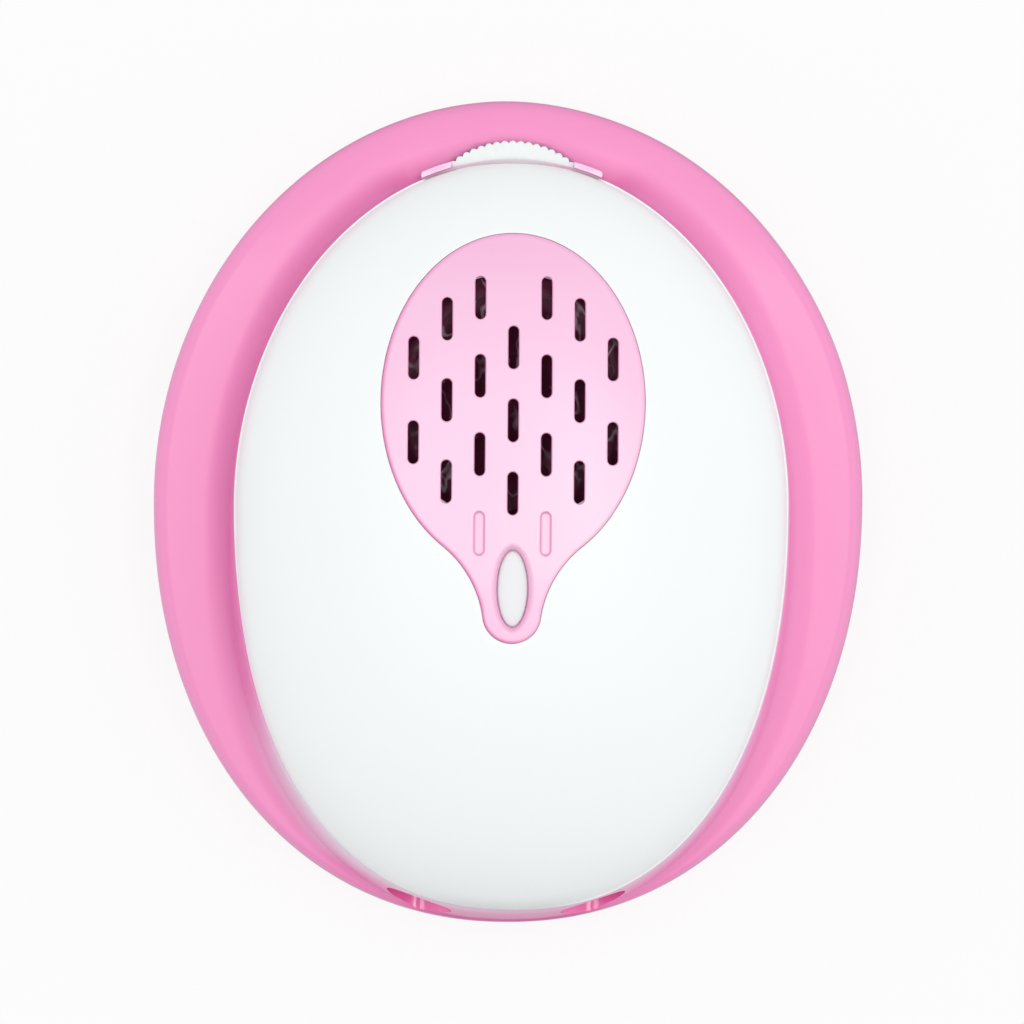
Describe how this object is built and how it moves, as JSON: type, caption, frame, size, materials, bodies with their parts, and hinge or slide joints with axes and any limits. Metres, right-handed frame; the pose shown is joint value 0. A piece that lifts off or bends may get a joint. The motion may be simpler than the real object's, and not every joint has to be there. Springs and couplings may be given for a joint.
{
  "type": "fetal doppler monitor",
  "caption": "Egg-shaped handheld fetal doppler: domed face on a flared ring, ladle-shaped speaker grille, volume wheel, earphone pockets, rear probe and a sliding battery door.",
  "frame": {"origin": "middle of the case on the surface that its back rests on", "axes": "+X to the right as the face is seen, +Y towards the volume wheel, +Z out of the face"},
  "size_m": [0.095, 0.11, 0.04],
  "materials": {
    "pink_shell": "smooth gloss, moulded pink",
    "white_shell": "smooth gloss, moulded white",
    "pale_pink": "satin gloss, moulded pale pink",
    "milky_lens": "milky, lets light through",
    "white_wheel": "satin white with moulded teeth",
    "steel": "bright zinc plate",
    "black_plastic": "fine matte",
    "board": "green solder mask",
    "can_metal": "drawn can",
    "battery_jacket": "plain dark jacket, nothing printed",
    "brass": "nickelled contacts",
    "foam": "closed foam",
    "magnet": "plated pot",
    "cone": "thin film, dark and shiny",
    "copper": "enamelled copper wire",
    "probe_face": "smooth acoustic window",
    "crystal": "fired ceramic",
    "backing": "cast damping block",
    "wire": "soft insulation"
  },
  "bodies": {
    "case": {"rear_cover": "pink_shell", "side_ring": "pink_shell", "front_cover": "white_shell", "speaker_grille": "pale_pink", "indicator_lens": "milky_lens", "wheel_bezel": "pale_pink", "potentiometer_body": "black_plastic", "wheel_board": "board", "wheel_board_screws": "steel", "main_board": "board", "board_chips": "black_plastic", "board_capacitors": "can_metal", "indicator_led": "milky_lens", "board_screws": "steel", "earphone_jack_left": "black_plastic", "earphone_jack_right": "black_plastic", "battery": "battery_jacket", "battery_terminals": "brass", "battery_snap": "black_plastic", "battery_pad": "foam", "speaker_basket": "can_metal", "speaker_magnet": "magnet", "speaker_surround": "cone", "speaker_gasket": "foam", "speaker_screws": "steel", "probe_window": "probe_face", "probe_seal": "foam", "probe_crystals": "crystal", "probe_backing": "backing", "probe_can": "can_metal", "probe_screws": "steel", "case_screws": "steel", "speaker_leads": "wire", "battery_leads": "wire", "probe_cable": "wire", "wheel_wires": "wire"},
    "battery_door": {"battery_door": "pink_shell"},
    "volume_wheel": {"volume_wheel": "white_wheel", "wheel_shaft": "steel", "wheel_screw": "steel"},
    "speaker_cone": {"speaker_cone": "cone", "voice_coil": "copper", "dust_cap": "cone"}
  },
  "joints": [
    {"name": "door_slide", "type": "slide", "parent": "case", "child": "battery_door", "axis": [0, -1, 0], "range_m": [0, 0.048]},
    {"name": "volume_turn", "type": "hinge", "parent": "case", "child": "volume_wheel", "pos_m": [0, 0.03645, 0.0216], "axis": [0, 0, 1], "range_deg": [0, 270]},
    {"name": "cone_travel", "type": "slide", "parent": "case", "child": "speaker_cone", "axis": [0, 0, 1], "range_m": [-0.0003, 0.0003], "stiffness_N_per_m": 200}
  ]
}
